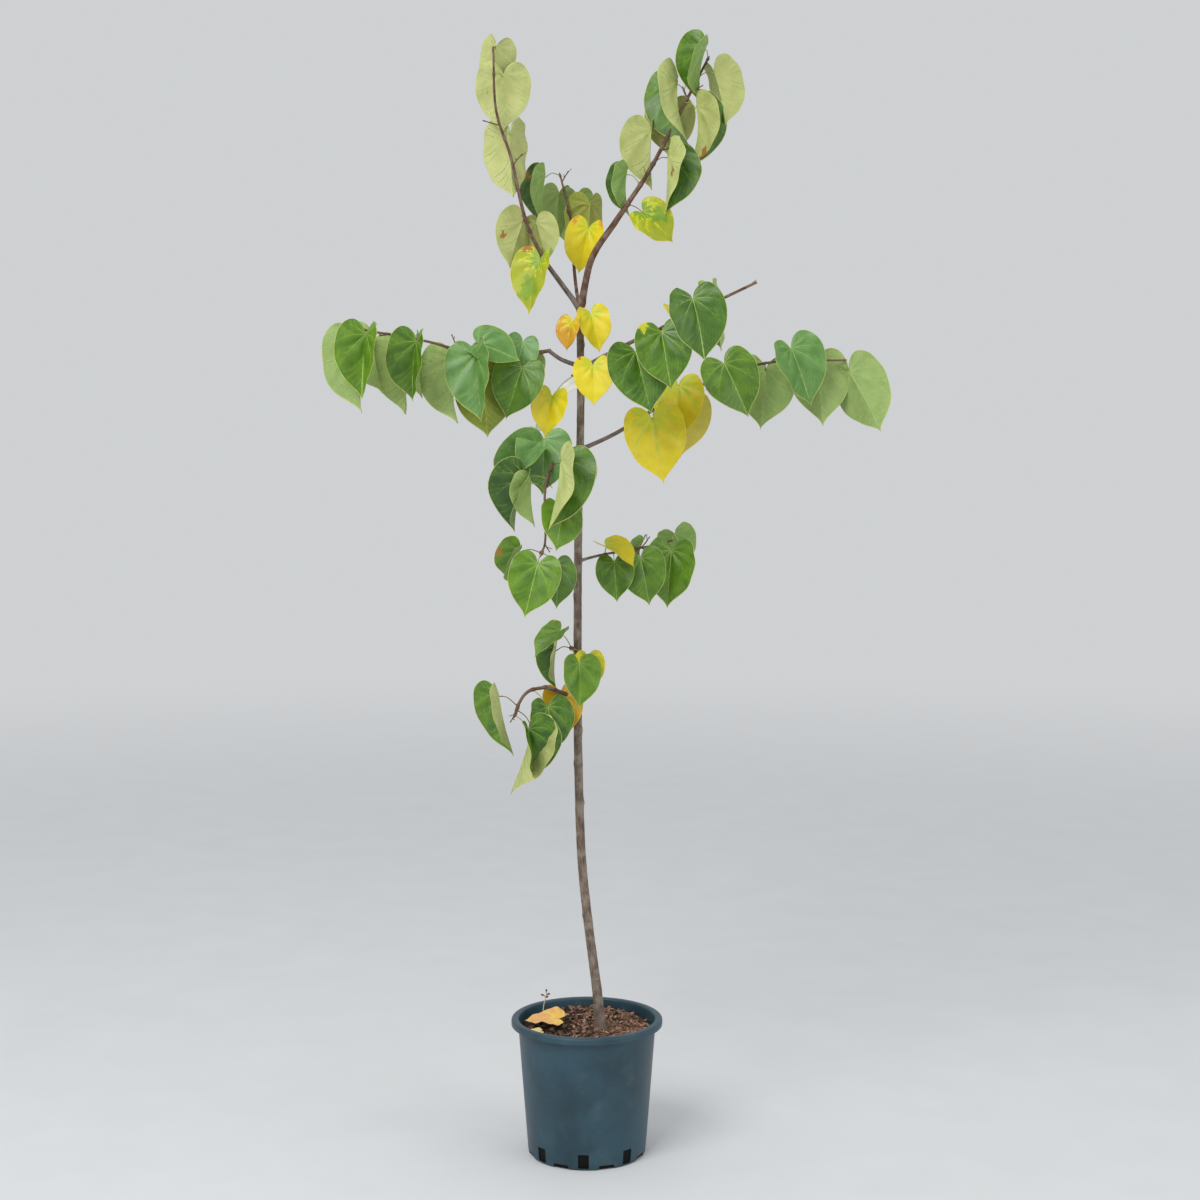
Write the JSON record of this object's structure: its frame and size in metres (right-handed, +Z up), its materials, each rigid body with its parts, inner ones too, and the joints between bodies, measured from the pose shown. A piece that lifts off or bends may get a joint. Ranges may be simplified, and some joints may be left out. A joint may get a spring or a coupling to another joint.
{
  "type": "potted heart-leaved sapling",
  "caption": "Young redbud tree with a thin curved trunk, forked leaders, side shoots of heart-shaped green and yellow leaves, and a slotted plastic nursery pot topped with bark compost",
  "frame": {"origin": "centre of the pot's flat underside, on the ground it stands on", "axes": "+Z up along the trunk, +X to the right and -Y to the front in the reference view"},
  "size_m": [1.0576, 0.4156, 2.1],
  "materials": {
    "teal_plastic": "matte dark teal moulded plastic with faint scuffs",
    "bark_compost": "moist compost under chipped bark",
    "grey_bark": "smooth grey-brown young bark with pale pores",
    "white_strip": "plain white strip",
    "green_leaf": "waxy green leaf with pale veins",
    "pale_leaf": "leaves that mostly show their matt pale undersides",
    "yellow_leaf": "yellow autumn leaf with green veins"
  },
  "bodies": {
    "root": {"pot": "teal_plastic", "compost": "bark_compost", "trunk": "grey_bark", "blank_label": "white_strip", "right_leader": "grey_bark", "left_leader": "grey_bark", "middle_twig": "grey_bark", "left_bough": "grey_bark", "right_upper_bough": "grey_bark", "right_long_bough": "grey_bark", "middle_left_bough": "grey_bark", "small_right_bough": "grey_bark", "low_left_bough": "grey_bark", "left_leader_leaves": "pale_leaf", "right_leader_leaves": "green_leaf", "middle_leaves": "pale_leaf", "left_bough_leaves": "pale_leaf", "right_upper_leaves": "green_leaf", "right_long_leaves": "pale_leaf", "middle_left_leaves": "green_leaf", "small_right_leaves": "green_leaf", "trunk_tuft_leaves": "green_leaf", "low_left_leaves": "green_leaf", "upper_trunk_leaves": "yellow_leaf", "lower_trunk_leaves": "yellow_leaf"}
  },
  "joints": []
}
